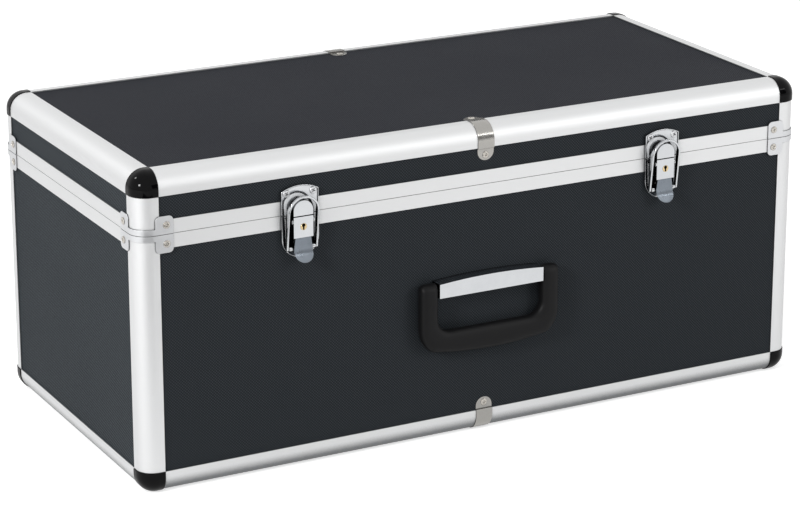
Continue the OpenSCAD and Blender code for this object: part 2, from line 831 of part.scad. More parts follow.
module handle_screws() in_case() color(NICKEL) at_handle()
    for (side = left_right)
        translate([side * handle_boss_x, panel_back, handle_boss_z]) rotate([90, 0, 0])
            cylinder(h = panel_back - handle_floor + handle_screw_in, r = handle_screw_r);

// a stub pin in each end of the bracket, headed inside it
module handle_pins() in_case() color(NICKEL) at_handle() {
    inside = bracket_half - bracket_wall;
    for (side = left_right) mirror([side > 0 ? 0 : 1, 0, 0])
        translate([inside - 1, -handle_out, 0]) rotate([0, 90, 0]) {
            cylinder(h = grip_gap / 2 + handle_pin_in - inside + 1, r = handle_pin_r);
            cylinder(h = 0.9, r = handle_pin_r + 0.8);
        }
}

// outline of the grip from the front: two arms and a bowed bar, pivot line at y = 0
module grip_outline() {
    top_r = 5;
    inner_r = 13;
    bow_r = 340;
    top = arm_r;
    inner_low = bar_h - grip_drop;
    difference() {
        intersection() {
            union() {
                translate([-grip_side, -grip_drop + grip_corner])
                    square([2 * grip_side, grip_drop - grip_corner + top - top_r]);
                translate([-grip_side + top_r, 0]) square([2 * (grip_side - top_r), top]);
                translate([-grip_side + grip_corner, -grip_drop])
                    square([2 * (grip_side - grip_corner), grip_drop]);
                for (side = left_right) {
                    translate([side * (grip_side - grip_corner), grip_corner - grip_drop])
                        circle(grip_corner);
                    translate([side * (grip_side - top_r), top - top_r]) circle(top_r);
                }
            }
            translate([0, bow_r - grip_drop]) circle(bow_r, $fn = 192);
        }
        translate([-grip_gap / 2, inner_low + inner_r]) square([grip_gap, grip_drop * 2]);
        translate([-grip_gap / 2 + inner_r, inner_low])
            square([grip_gap - 2 * inner_r, grip_drop]);
        for (side = left_right)
            translate([side * (grip_gap / 2 - inner_r), inner_low + inner_r])
                circle(inner_r);
    }
}

// the grip from the side: x is the projection, with round ends on the pivot and under the bar
module grip_profile() {
    r = grip_t / 2 - 0.6;
    back = handle_out - grip_t / 2;
    translate([handle_out, 0]) circle(arm_r);
    translate([handle_out - arm_r, -grip_drop + r]) square([2 * arm_r, grip_drop - r]);
    translate([back, -grip_drop + r]) square([grip_t, bar_h - r]);
    translate([back + r, -grip_drop]) square([grip_t - 2 * r, r]);
    for (x = [back + r, back + grip_t - r]) translate([x, -grip_drop + r]) circle(r);
}

module handle_grip() in_case() color(PLASTIC) at_handle() difference() {
    intersection() {
        translate([0, grip_t, 0]) rotate([90, 0, 0])
            linear_extrude(3 * grip_t) grip_outline();
        side_shape(2 * grip_side + 2) grip_profile();
    }
    translate([0, -handle_out, 0]) rotate([0, 90, 0])
        cylinder(h = grip_gap + 2 * handle_pin_in + 1, r = handle_pin_r + pin_fit,
                 center = true);
}

// ---- latches ---------------------------------------------------------------------------
// A latch is drawn about the parting line: z = 0 there, y = 0 on the rims' face, x = 0 in
// the latch's middle. Side outlines have the projection as x and the height as y.

// extrudes a side outline evenly about the latch's middle
module side_shape(width) {
    mirror([0, 1, 0]) rotate([90, 0, 90]) linear_extrude(width, center = true) children();
}

// two equal side walls, from an inner face outwards
module side_walls(inner, t) {
    for (side = left_right) translate([side * (inner + t / 2), 0, 0])
        side_shape(t) children();
}

// a front outline as a plate, its back at a projection
module front_plate(back, t) {
    translate([0, -back, 0]) rotate([90, 0, 0]) linear_extrude(t) children();
}

module at_latch(side) {
    translate([side * latch_x, latch_front, base_h]) children();
}

// bores for the lever's pin and for the loop's ends
module lever_pin_bore() {
    translate([0, -lever_pivot_out, -lever_pivot_drop]) rotate([0, 90, 0])
        cylinder(h = 2 * latch_plate_w, r = lever_pin_r + pin_fit, center = true);
}

module loop_end_bore() {
    translate([0, -loop_pivot_out, -loop_pivot_drop]) rotate([0, 90, 0])
        cylinder(h = 2 * latch_plate_w, r = loop_end_r + pin_fit, center = true);
}

// outline of the base plate: straight sides and a half-round lower end
module base_plate_outline(inset, top) {
    half = latch_plate_w / 2;
    round_drop = base_plate_drop - half;
    r = half - inset;
    translate([-r, -round_drop]) square([2 * r, round_drop + top]);
    translate([0, -round_drop]) circle(r);
}

// plate on the base with two ears for the lever's pin and a catch for the lock's cam
module latch_base(side) color(CHROME) drilled_base() at_latch(side) {
    front_plate(0, latch_plate_t) base_plate_outline(0, -parting_gap);
    front_plate(latch_plate_t - tiny, base_rim_out - latch_plate_t + tiny) difference() {
        base_plate_outline(0, -parting_gap);
        base_plate_outline(base_rim_t, 1);
    }
    difference() {
        side_walls(ear_x, ear_t) {
            translate([lever_pivot_out, -lever_pivot_drop]) circle(ear_r);
            translate([0, -lever_pivot_drop - ear_r])
                square([lever_pivot_out, 2 * ear_r]);
            translate([0, -lever_pivot_drop - ear_foot]) square([ear_foot_out, ear_foot]);
        }
        lever_pin_bore();
    }
    catch_out = cam_out + cam_t + 0.4;           // the cam turns in behind this
    translate([catch_in + catch_w - catch_t, -catch_out - catch_t, -plug_drop - catch_h / 2])
        cube([catch_t, catch_out + catch_t, catch_h]);
    translate([catch_in, -catch_out - catch_t, -plug_drop - catch_h / 2])
        cube([catch_w, catch_t, catch_h]);
}

module left_latch_base() in_case() latch_base(-1);
module right_latch_base() in_case() latch_base(1);

module latch_lever_pins() in_case() color(CHROME)
    for (side = left_right) at_latch(side)
        translate([0, -lever_pivot_out, -lever_pivot_drop]) rotate([0, 90, 0]) {
            half = ear_x + ear_t + 0.05;
            head = 0.4;
            cylinder(h = 2 * half, r = lever_pin_r, center = true);
            for (end = left_right) translate([0, 0, end * (half + head / 2)])
                cylinder(h = head, r = lever_pin_r + 0.5, center = true);
        }

// outline of the tab from the front, down to its bend and on to the mitre with its turned end
module tab_outline() {
    half = tab_end_w / 2 - 0.2;                  // the turned end is a little wider
    full_width = -tab_bend_drop + 1;
    low = -tab_bend_drop - tab_mitre;
    polygon([[-tab_top_w / 2, -lock_case_drop], [tab_top_w / 2, -lock_case_drop],
             [half, full_width], [half, low], [-half, low], [-half, full_width]]);
}

// outline of a side wall of the lever: round on the pivot pin, and round below the loop's ends
module lever_side() {
    wall_out = tab_out + tab_t / 2;
    back = lever_pivot_out - lever_end_r;
    low_back = loop_pivot_out - loop_end_r;
    end_r = loop_end_r + 1.2;
    intersection() {
        translate([lever_pivot_out, -lever_pivot_drop]) circle(lever_end_r);
        translate([0, -lock_case_drop]) square([wall_out, lock_case_drop]);
    }
    translate([back, -lock_case_drop])
        square([wall_out - back, lock_case_drop - lever_pivot_drop]);
    translate([low_back, -loop_pivot_drop])
        square([wall_out - low_back, loop_pivot_drop - lock_case_drop + 1]);
    intersection() {
        translate([loop_pivot_out, -loop_pivot_drop]) circle(end_r);
        translate([0, -loop_pivot_drop - 2 * end_r]) square([wall_out, 3 * end_r]);
    }
}

// lever: a channel on the pivot pin that ends in the thumb tab, bored for the loop's ends
module latch_lever(side) color(CHROME) at_latch(side) difference() {
    plate_top = plug_drop + plug_collar_r + 0.6;
    union() {
        front_plate(tab_out, tab_t) tab_outline();
        front_plate(tab_out, tab_t)
            translate([-lever_wall_x, -lock_case_drop - 0.5])
                square([2 * lever_wall_x, lock_case_drop + 0.5 - plate_top]);
        side_walls(lever_wall_x - latch_sheet, latch_sheet) lever_side();
        translate([0, -tab_out - tab_t, -tab_bend_drop]) rotate([-tab_flare, 0, 0])
            front_plate(-tab_t, tab_t) {
                translate([-tab_end_w / 2, -tab_end]) square([tab_end_w, tab_end + tab_mitre]);
                intersection() {
                    translate([0, -tab_end]) circle(tab_end_w / 2);
                    translate([-tab_end_w / 2, -tab_end - tab_end_w])
                        square([tab_end_w, tab_end_w + tiny]);
                }
            }
    }
    lever_pin_bore();
    loop_end_bore();
}

module left_latch_lever() in_case() latch_lever(-1);
module right_latch_lever() in_case() latch_lever(1);

// pressed cover over the lever, with the lock plug's bore
module lock_case(side) color(CHROME) at_latch(side) difference() {
    face_top = 0.6;
    union() {
        front_plate(lock_out - latch_sheet, latch_sheet)
            translate([-lock_w / 2, -lock_case_drop])
                square([lock_w, lock_case_drop - face_top]);
        side_walls(lock_w / 2 - latch_sheet, latch_sheet) {
            intersection() {
                translate([lever_pivot_out, -lever_pivot_drop]) circle(lever_end_r);
                translate([0, -lock_case_drop]) square([lock_out, lock_case_drop]);
            }
            translate([lever_pivot_out - lever_end_r, -lock_case_drop])
                square([lock_out - lever_pivot_out + lever_end_r,
                        lock_case_drop - lever_pivot_drop]);
        }
    }
    lever_pin_bore();
    translate([0, -lock_out + latch_sheet / 2, -plug_drop]) rotate([90, 0, 0])
        cylinder(h = 2 * latch_sheet, r = plug_r + pin_fit, center = true);
}

module left_lock_case() in_case() lock_case(-1);
module right_lock_case() in_case() lock_case(1);

// brass plug with a keyway, a collar behind the cover and a cam that turns under the catch
module lock_plug(side) color(BRASS) at_latch(side) translate([0, 0, -plug_drop]) {
    collar_out = lock_out - latch_sheet - 0.1;
    plug_face = lock_out + 0.2;
    collar_t = 1.2;
    key_w = 1.4;
    key_h = 3.8;
    key_low = -2.6;
    key_in = 3;                                  // depth of the keyway
    cam_half = 1.5;
    difference() {
        union() {
            translate([0, -cam_out, 0]) rotate([90, 0, 0])
                cylinder(h = plug_face - cam_out, r = plug_r);
            translate([0, -collar_out + collar_t, 0]) rotate([90, 0, 0])
                cylinder(h = collar_t, r = plug_collar_r);
        }
        translate([-key_w / 2, -plug_face - 1, key_low]) cube([key_w, key_in + 1, key_h]);
        translate([0, -plug_face + key_in, key_low + key_h]) rotate([90, 0, 0])
            cylinder(h = key_in + 1, r = key_w * 1.1);
    }
    translate([-cam_half, -cam_out - cam_t, -cam_reach + cam_half])
        cube([2 * cam_half, cam_t, cam_reach - cam_half]);
    translate([0, -cam_out, -cam_reach + cam_half]) rotate([90, 0, 0])
        cylinder(h = cam_t, r = cam_half);
}

module left_lock_plug() in_case() lock_plug(-1);
module right_lock_plug() in_case() lock_plug(1);

// outline of the loop from the side: narrow at its pivot and its top, deepest beside the lock
module loop_side() {
    end_r = loop_end_r + 0.4;
    low = -loop_pivot_drop;
    // the edges as [projection, height]: the back clears the plates and steps over the keeper
    back = [[loop_pivot_out - end_r, low], [3.4, -7], [4.4, 4], [loop_back, 11]];
    top = [[loop_back, loop_top + 1], [loop_front, loop_top + 1]];
    front = [[loop_front - 0.6, 8], [8.2, -8], [loop_pivot_out + end_r, low]];
    translate([loop_pivot_out, low]) circle(end_r);
    polygon(concat(back, top, front));
}

// outline of the loop from the front, the given distance inside its outer edge
module loop_outline(inset, low) {
    r = loop_half - inset;
    top = loop_top - loop_half;
    translate([-r, low]) square([2 * r, top - low]);
    intersection() {
        translate([0, top]) circle(r, $fn = 96);
        translate([-r, low]) square([2 * r, loop_top - low]);
    }
}

// pressed loop: a half-round strip on edge, whose two ends are turned in to the lever
module latch_loop(side) color(CHROME) at_latch(side) {
    low = -loop_pivot_drop - 3;
    end_in = lever_wall_x - latch_sheet - 0.4;
    intersection() {
        side_shape(loop_w + 2) loop_side();
        translate([0, 1, 0]) rotate([90, 0, 0]) linear_extrude(loop_front + 2) difference() {
            loop_outline(0, low);
            loop_outline(loop_t, low - 1);
        }
    }
    for (end = left_right) mirror([end > 0 ? 0 : 1, 0, 0])
        translate([end_in, -loop_pivot_out, -loop_pivot_drop]) rotate([0, 90, 0])
            cylinder(h = loop_half - loop_t / 2 - end_in, r = loop_end_r);
}

module left_latch_loop() in_case() latch_loop(-1);
module right_latch_loop() in_case() latch_loop(1);

// outline of the lid plate: rounded upper corners under a shallow arc
module keeper_plate_outline() {
    half = latch_plate_w / 2;
    corner_r = 4;
    arc_r = 36;
    square_top = keeper_plate_h - 1.4;           // top of the rounded corners, under the arc
    intersection() {
        union() {
            translate([-half, parting_gap]) square([latch_plate_w, square_top - corner_r]);
            translate([-half + corner_r, parting_gap])
                square([latch_plate_w - 2 * corner_r, keeper_plate_h]);
            for (end = left_right)
                translate([end * (half - corner_r), square_top - corner_r])
                    circle(corner_r);
        }
        translate([0, keeper_plate_h - arc_r]) circle(arc_r, $fn = 96);
    }
}

// outline of the arched keeper: a half-round top on straight sides
module keeper_outline(inset, low) {
    r = lock_w / 2 - inset;
    centre = keeper_h - lock_w / 2;
    translate([-r, low]) square([2 * r, centre - low]);
    intersection() {
        translate([0, centre]) circle(r);
        translate([-r, low]) square([2 * r, keeper_h]);
    }
}

// plate on the lid with the hollow arched keeper that the loop lies over
module keeper(side) color(CHROME) drilled_lid() at_latch(side) {
    front_plate(0, latch_plate_t) keeper_plate_outline();
    difference() {
        front_plate(latch_plate_t - tiny, lock_out - latch_plate_t + tiny)
            keeper_outline(0, parting_gap);
        front_plate(latch_plate_t, lock_out - latch_plate_t - latch_sheet)
            keeper_outline(latch_sheet, parting_gap - 1);
    }
}

module left_keeper() in_case() keeper(-1);
module right_keeper() in_case() keeper(1);

base_front_panel();
base_back_panel();
base_left_panel();
base_right_panel();
base_bottom_panel();
base_front_edge();
base_back_edge();
base_left_edge();
base_right_edge();
base_corner_posts();
base_front_rim();
base_back_rim();
base_left_rim();
base_right_rim();
base_corner_caps();
base_corner_brackets();
base_edge_clips();
base_rivets();
base_lining();
left_hinge_base_leaf();
right_hinge_base_leaf();
hinge_pins();
handle_bracket();
handle_pins();
handle_screws();
handle_grip();
left_latch_base();
right_latch_base();
latch_lever_pins();
left_latch_lever();
right_latch_lever();
left_lock_case();
right_lock_case();
left_lock_plug();
right_lock_plug();
left_latch_loop();
right_latch_loop();
left_keeper();
right_keeper();
lid_top_panel();
lid_front_panel();
lid_back_panel();
lid_left_panel();
lid_right_panel();
lid_front_edge();
lid_back_edge();
lid_left_edge();
lid_right_edge();
lid_corner_posts();
lid_front_rim();
lid_back_rim();
lid_left_rim();
lid_right_rim();
lid_corner_caps();
lid_corner_brackets();
lid_edge_clips();
lid_rivets();
lid_lining();
hinge_lid_leaves();
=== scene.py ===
# %% [markdown]
# # A record carrying case
# The real object is a hard case for records: black laminated panels slid into aluminium
# profiles, glossy caps on the corners, a lid with two keyed latches and a drop handle. Every
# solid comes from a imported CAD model. This lesson gives each one its finish, and rebuilds the
# pieces whose looks need more than a plain solid: rounded edges, screw heads, the moulded grip.

# %% Load the frame and keep its box
import math

import bmesh
import bpy
import numpy as np
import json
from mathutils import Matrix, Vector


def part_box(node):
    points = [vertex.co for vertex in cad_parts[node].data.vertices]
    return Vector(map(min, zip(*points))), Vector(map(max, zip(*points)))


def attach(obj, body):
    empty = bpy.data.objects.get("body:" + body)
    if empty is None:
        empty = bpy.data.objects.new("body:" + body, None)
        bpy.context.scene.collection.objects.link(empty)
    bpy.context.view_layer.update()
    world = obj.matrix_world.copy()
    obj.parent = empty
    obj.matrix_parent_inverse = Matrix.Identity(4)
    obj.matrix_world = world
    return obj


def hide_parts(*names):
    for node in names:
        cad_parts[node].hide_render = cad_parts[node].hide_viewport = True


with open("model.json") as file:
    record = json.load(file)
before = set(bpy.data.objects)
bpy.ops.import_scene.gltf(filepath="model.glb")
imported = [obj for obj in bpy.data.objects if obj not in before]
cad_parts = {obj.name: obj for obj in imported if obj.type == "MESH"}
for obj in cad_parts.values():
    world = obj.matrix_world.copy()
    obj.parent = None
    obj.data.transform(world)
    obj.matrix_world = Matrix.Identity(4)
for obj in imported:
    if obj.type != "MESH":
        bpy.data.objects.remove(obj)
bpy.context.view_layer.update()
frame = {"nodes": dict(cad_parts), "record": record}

# %% [markdown]
# ## Measures that the pieces share
# The CAD nodes already say where everything is, so the faces that the hardware sits on are
# read from their boxes. Positions are in metres, and `MM` turns millimetres into them.

# %% Faces of the case
MM = 0.001
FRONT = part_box("base_front_rim")[0][1]
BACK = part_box("base_back_rim")[1][1]
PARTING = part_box("base_front_rim")[1][2]
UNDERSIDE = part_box("base_front_edge")[0][2]
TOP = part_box("lid_front_edge")[1][2]
print("front", round(FRONT, 5), "back", round(BACK, 5), "parting line", round(PARTING, 5))

# %% [markdown]
# ## Camera
# The photograph looks at the front and the left side from 28 degrees to the left and 17
# degrees above, from far away with a long lens, so upright edges stay almost parallel. A
# small downward shift of the lens keeps them closer to that. These numbers come from fitting
# the corners of the caps in the photograph to the case's corners.

# %% Camera
CASE_H = TOP - UNDERSIDE
VIEW_AZIMUTH, VIEW_ELEVATION, VIEW_ROLL = -27.868, 16.827, -0.055
VIEW_OFFSET = np.array([-0.0094, 0.1913, 9.5141]) * CASE_H
FOCAL_PIXELS, PHOTO_WIDTH, SENSOR_WIDTH = 2915.8, 800, 36
LENS_SHIFT = -0.1


def view_axes(azimuth, elevation, roll):
    """Unit vectors of the camera: right, up and back, from its two angles and its roll."""
    a, e, r = np.radians([azimuth, elevation, roll])
    back = np.array([np.sin(a) * np.cos(e), -np.cos(a) * np.cos(e), np.sin(e)])
    right = np.cross([0, 0, 1], back)
    right /= np.linalg.norm(right)
    up = np.cross(back, right)
    rolled_right = right * np.cos(r) + up * np.sin(r)
    rolled_up = up * np.cos(r) - right * np.sin(r)
    return np.array([rolled_right, rolled_up, back])


axes = view_axes(VIEW_AZIMUTH, VIEW_ELEVATION, VIEW_ROLL)
middle = np.array([0, (FRONT + BACK) / 2, (UNDERSIDE + TOP) / 2])
camera = bpy.data.objects.new("camera", bpy.data.cameras.new("camera"))
bpy.context.scene.collection.objects.link(camera)
pose = np.eye(4)
pose[:3, :3] = axes.T
pose[:3, 3] = middle + axes.T @ VIEW_OFFSET
camera.matrix_world = [list(row) for row in pose.T]
camera.data.sensor_width = SENSOR_WIDTH
camera.data.lens = FOCAL_PIXELS / PHOTO_WIDTH * SENSOR_WIDTH
camera.data.shift_y = LENS_SHIFT
camera.data.clip_end = 50
bpy.context.scene.camera = camera
print("camera at", np.round(pose[:3, 3], 3).tolist(), "lens", round(camera.data.lens, 1), "mm")

# %% [markdown]
# ## Room and light
# Catalogue photographs of such cases are taken on a white sweep under broad soft boxes. The
# world is white to the camera, in reflections and through glass, so that metal shows a white
# room, and it lights the case at less than half that level.

# %% Colours and nodes
def linear(hex_colour):
    """An sRGB hex colour as linear RGBA: the two-part sRGB curve, channel by channel."""
    srgb = np.array([int(hex_colour[i:i + 2], 16) for i in (1, 3, 5)]) / 255
    low, high = srgb / 12.92, ((srgb + 0.055) / 1.055) ** 2.4
    return tuple(np.where(srgb <= 0.04045, low, high)) + (1.0,)


def add_node(tree, kind, inputs=None, **settings):
    """Adds a node, sets its properties, and gives each input a value or a link from a socket."""
    made = tree.nodes.new(kind)
    for name, value in settings.items():
        setattr(made, name, value)
    for name, value in (inputs or {}).items():
        if isinstance(value, bpy.types.NodeSocket):
            tree.links.new(value, made.inputs[name])
        else:
            made.inputs[name].default_value = value
    return made


# %% World: white to the eye, softer as light
WORLD_AS_LIGHT, WORLD_AS_SEEN = 0.45, 1.0
world = bpy.data.worlds.new("studio")
bpy.context.scene.world = world
world.use_nodes = True
world.node_tree.nodes.clear()
rays = add_node(world.node_tree, "ShaderNodeLightPath")
seen = rays.outputs["Is Camera Ray"]
for kind in ("Is Glossy Ray", "Is Transmission Ray"):
    seen = add_node(world.node_tree, "ShaderNodeMath", {0: seen, 1: rays.outputs[kind]},
                    operation="MAXIMUM").outputs[0]
level = add_node(world.node_tree, "ShaderNodeMapRange",
                 {"Value": seen, "To Min": WORLD_AS_LIGHT, "To Max": WORLD_AS_SEEN})
sky = add_node(world.node_tree, "ShaderNodeBackground",
               {"Color": linear("#ffffff"), "Strength": level.outputs[0]})
add_node(world.node_tree, "ShaderNodeOutputWorld", {"Surface": sky.outputs[0]})

# %% Soft boxes
AIM = np.array([0, 0, 0.12])


def look_angles(direction):
    """Euler angles that turn a lamp's own -Z along a direction: first a tilt, then a turn."""
    flat = math.hypot(direction[0], direction[1])
    return (math.atan2(flat, -direction[2]), 0, math.atan2(-direction[0], direction[1]))


def area_light(name, place, size, watts):
    """A soft box: a square light at a place, turned so that it looks at the case."""
    lamp = bpy.data.lights.new(name, "AREA")
    lamp.size, lamp.energy = size, watts
    holder = bpy.data.objects.new(name, lamp)
    bpy.context.scene.collection.objects.link(holder)
    holder.location = place
    holder.rotation_euler = look_angles(AIM - np.array(place))


area_light("key_box", (-2.6, -1.3, 1.5), 0.5, 50)
area_light("fill_box", (1.7, -2.3, 1.2), 1.1, 24)
area_light("back_box", (-1.7, 0.9, 1.9), 0.35, 9)
area_light("top_box", (0.2, 0.9, 2.6), 1.8, 1)

# %% [markdown]
# The floor is matt white paper. Lit paper never quite reaches the white of the page, so a
# little light of its own is added for the camera, and less of it for reflections, which keeps
# the lower profiles a shade darker than the page. The case's shadow still darkens it.

# %% Floor
FLOOR_REACH = 8.0
GLOW_SEEN, GLOW_MIRRORED = 0.6, 0.3


def plane_mesh(name, corners):
    """One four-sided face from its corners. It belongs to the stage and not to the case."""
    mesh = bpy.data.meshes.new(name)
    mesh.from_pydata([tuple(c) for c in corners], [], [(0, 1, 2, 3)])
    shown = bpy.data.objects.new(name, mesh)
    bpy.context.scene.collection.objects.link(shown)
    return shown


paper = bpy.data.materials.new("white_paper_sweep")
paper.use_nodes = True
tree = paper.node_tree
tree.nodes.clear()
rays = add_node(tree, "ShaderNodeLightPath")
eye = add_node(tree, "ShaderNodeMath", {0: rays.outputs["Is Camera Ray"], 1: GLOW_SEEN},
               operation="MULTIPLY")
mirror = add_node(tree, "ShaderNodeMath", {0: rays.outputs["Is Glossy Ray"], 1: GLOW_MIRRORED},
                  operation="MULTIPLY")
boost = add_node(tree, "ShaderNodeMath", {0: eye.outputs[0], 1: mirror.outputs[0]},
                 operation="ADD")
matt = add_node(tree, "ShaderNodeBsdfDiffuse", {"Color": linear("#f2f2f2")})
glow = add_node(tree, "ShaderNodeEmission",
                {"Color": linear("#ffffff"), "Strength": boost.outputs[0]})
both = add_node(tree, "ShaderNodeAddShader", {0: matt.outputs[0], 1: glow.outputs[0]})
add_node(tree, "ShaderNodeOutputMaterial", {"Surface": both.outputs[0]})
floor = plane_mesh("paper_floor", [(x * FLOOR_REACH, y * FLOOR_REACH, 0)
                                   for x, y in ((-1, -1), (1, -1), (1, 1), (-1, 1))])
floor.data.materials.append(paper)

# %% [markdown]
# Chrome needs something dark to mirror, or its edges vanish against the white room, so a
# photographer stands black cards just outside the view. One lies before the case to the left
# and draws a dark line down every edge that faces that way. One stands before it to the right,
# above the floor, and does the same for edges that face upwards. A third behind the case
# darkens what lies flat and shines, such as the tops of the clips. They show in reflections
# only.

# %% Black cards
CARDS = {
    "low_black_card": [(-0.95, -1.00, 0.002), (-0.06, -1.00, 0.002),
                       (-0.06, -0.52, 0.002), (-0.75, -0.40, 0.002)],
    "high_black_card": [(0.15, -1.75, 0.35), (1.35, -1.20, 0.35),
                        (1.35, -1.20, 1.02), (0.15, -1.75, 1.02)],
    "back_black_card": [(0.75, 1.9, 0.8), (1.4, 1.9, 0.8), (1.4, 1.9, 1.25), (0.75, 1.9, 1.25)],
}
card_black = bpy.data.materials.new("matt_black_card")
card_black.use_nodes = True
card_shader = card_black.node_tree.nodes["Principled BSDF"]
card_shader.inputs["Base Color"].default_value = linear("#0a0a0a")
card_shader.inputs["Roughness"].default_value = 0.9
for name, corners in CARDS.items():
    card = plane_mesh(name, corners)
    card.data.materials.append(card_black)
    card.visible_camera = card.visible_diffuse = False
    card.visible_shadow = card.visible_transmission = False

# %% [markdown]
# ## Finishes
# Most finishes here are one surface with a fine grain: pressed aluminium is scratched along its
# length, plate is nearly smooth, moulded plastic has a spark-eroded texture. One function
# makes them all from a colour, a metal or plastic shader, and a noise that is stretched by the
# real size of the grain along each axis. Between closely set parts metal mirrors itself many
# times and looks darker, and most of the metals have that shade painted into their colour: a
# dark tone where other surfaces are close.

# %% A surface with a grain
CREVICE_DARK, CREVICE_CLEAR, CREVICE_SAMPLES = 0.42, 0.85, 8


def grained(name, tones, metallic, roughness, grain_mm, spread, bump_mm, specular=0.5,
            painted_crevice_shade=None, reach_mm=9):
    """A material whose noise cells have the given lengths along x, y and z. The noise mixes two
    tones, moves the roughness by plus or minus its spread, and raises the surface by its bump.
    A painted shade tone for crevices begins where the ambient occlusion node finds less than
    CREVICE_CLEAR of all directions free within the reach, and at CREVICE_DARK it is all that is
    left."""
    made = bpy.data.materials.new(name)
    made.use_nodes = True
    tree = made.node_tree
    shader = tree.nodes["Principled BSDF"]
    place = add_node(tree, "ShaderNodeTexCoord")
    scaled = add_node(tree, "ShaderNodeMapping", {"Vector": place.outputs["Object"],
                                                   "Scale": tuple(1 / (g * MM) for g in grain_mm)})
    noise = add_node(tree, "ShaderNodeTexNoise", {"Vector": scaled.outputs[0], "Scale": 1.0,
                                                   "Detail": 4.0, "Roughness": 0.6})
    colour = add_node(tree, "ShaderNodeMix", {0: noise.outputs["Fac"], 6: linear(tones[0]),
                                               7: linear(tones[1])}, data_type="RGBA")
    # Painted shade: the base colour turns towards the dark tone where the ambient occlusion node
    # finds other surfaces close by.
    if painted_crevice_shade:
        open_sky = add_node(tree, "ShaderNodeAmbientOcclusion", {"Distance": reach_mm * MM},
                            samples=CREVICE_SAMPLES)
        share = add_node(tree, "ShaderNodeMapRange", {"Value": open_sky.outputs["AO"],
                                                      "From Min": CREVICE_DARK,
                                                      "From Max": CREVICE_CLEAR})
        colour = add_node(tree, "ShaderNodeMix", {0: share.outputs[0], 6: linear(painted_crevice_shade),
                                                  7: colour.outputs[2]}, data_type="RGBA")
    tree.links.new(colour.outputs[2], shader.inputs["Base Color"])
    rough = add_node(tree, "ShaderNodeMapRange", {"Value": noise.outputs["Fac"],
                                                   "From Min": 0.3, "From Max": 0.7,
                                                   "To Min": roughness - spread,
                                                   "To Max": roughness + spread})
    tree.links.new(rough.outputs[0], shader.inputs["Roughness"])
    relief = add_node(tree, "ShaderNodeBump", {"Height": noise.outputs["Fac"],
                                                "Distance": bump_mm * MM, "Strength": 1.0})
    tree.links.new(relief.outputs[0], shader.inputs["Normal"])
    shader.inputs["Metallic"].default_value = metallic
    shader.inputs["Specular IOR Level"].default_value = specular
    return made


# %% [markdown]
# Aluminium profiles are pressed through a die, so their faint lines run along each profile:
# 0.35 mm across and some 60 mm long. Anodising leaves them satin. One version is made for each
# direction.

# %% Metals and plastics
METAL, PLASTIC = 1.0, 0.0
ALONG = {"x": (60, 0.35, 0.35), "y": (0.35, 60, 0.35), "z": (0.35, 0.35, 60)}
anodised = {}
# The dark tones given for crevices below are painted shade: the profiles darken within 25 mm of
# other surfaces and the floor; the plates, nickel, brass and rivet steel darken in the narrow gaps
# round loops, tabs, heads and the keyway.
for way, grain in ALONG.items():
    anodised[way] = grained(f"satin_anodised_aluminium_{way}", ("#d8d8d9", "#dcdddd"), METAL, 0.53,
                            grain, 0.02, 0.003, painted_crevice_shade="#7c7e7f", reach_mm=25)
zinc_plate = grained("bright_zinc_plated_steel", ("#cdced0", "#d6d7d9"), METAL, 0.36,
                     (8, 8, 8), 0.04, 0.004, painted_crevice_shade="#2c2c2e", reach_mm=2.5)
chrome_plate = grained("polished_chrome_plate", ("#c8cacd", "#d6d8da"), METAL, 0.1,
                       (12, 12, 12), 0.02, 0.003, painted_crevice_shade="#1e2023")
dark_nickel = grained("dark_nickel_plate", ("#747b83", "#878e96"), METAL, 0.29,
                      (9, 9, 9), 0.04, 0.004, painted_crevice_shade="#1c1e21", reach_mm=10)
polished_nickel = grained("polished_nickel_plated_strip", ("#a3a19d", "#afada9"), METAL, 0.2,
                          (9, 9, 9), 0.03, 0.004, painted_crevice_shade="#3a3937", reach_mm=4)
brushed_nickel = grained("brushed_nickel_plated_steel", ("#96948f", "#a6a39e"), METAL, 0.33,
                         (14, 0.4, 0.4), 0.06, 0.006)
rivet_steel = grained("dulled_rivet_steel", ("#b9b4ac", "#cdc9c2"), METAL, 0.24,
                      (1.5, 1.5, 1.5), 0.05, 0.006, painted_crevice_shade="#1f1a15", reach_mm=2.6)
turned_brass = grained("turned_brass", ("#d2b98a", "#dfcba2"), METAL, 0.25,
                       (1.2, 1.2, 1.2), 0.06, 0.006, painted_crevice_shade="#0d0a05", reach_mm=3)
cap_plastic = grained("glossy_black_abs", ("#030304", "#070708"), PLASTIC, 0.07,
                      (12, 12, 12), 0.02, 0.006, specular=0.11)
grip_plastic = grained("eroded_black_polypropylene", ("#0c0c0d", "#131314"), PLASTIC, 0.5,
                       (0.7, 0.7, 0.7), 0.07, 0.03, specular=0.16)
lining_felt = grained("grey_needled_felt", ("#2c2c30", "#414146"), PLASTIC, 0.93,
                      (0.9, 0.9, 0.9), 0.05, 0.35, specular=0.2)
lining_felt.node_tree.nodes["Principled BSDF"].inputs["Sheen Weight"].default_value = 0.25

# %% [markdown]
# The laminate is a black plastic film, rolled under heat with a fine diamond relief: two sets
# of grooves that cross, 2.3 mm apart on the real case. That is close to one pixel here, so
# it is drawn 2.6 mm apart. A cell's height is the smaller of two sine waves along the
# diagonals, and its raised middle is painted a little lighter, a painted highlight where the
# crests catch the light. Light meets the sides and the top at a lower angle than the front and
# brings out more relief, so each face has its own pair of painted tones, lit and shaded copies
# of one film, and on the sides and the top they lie further apart.

# %% Embossed laminate
EMBOSS, RELIEF = 2.6 * MM, 0.12 * MM


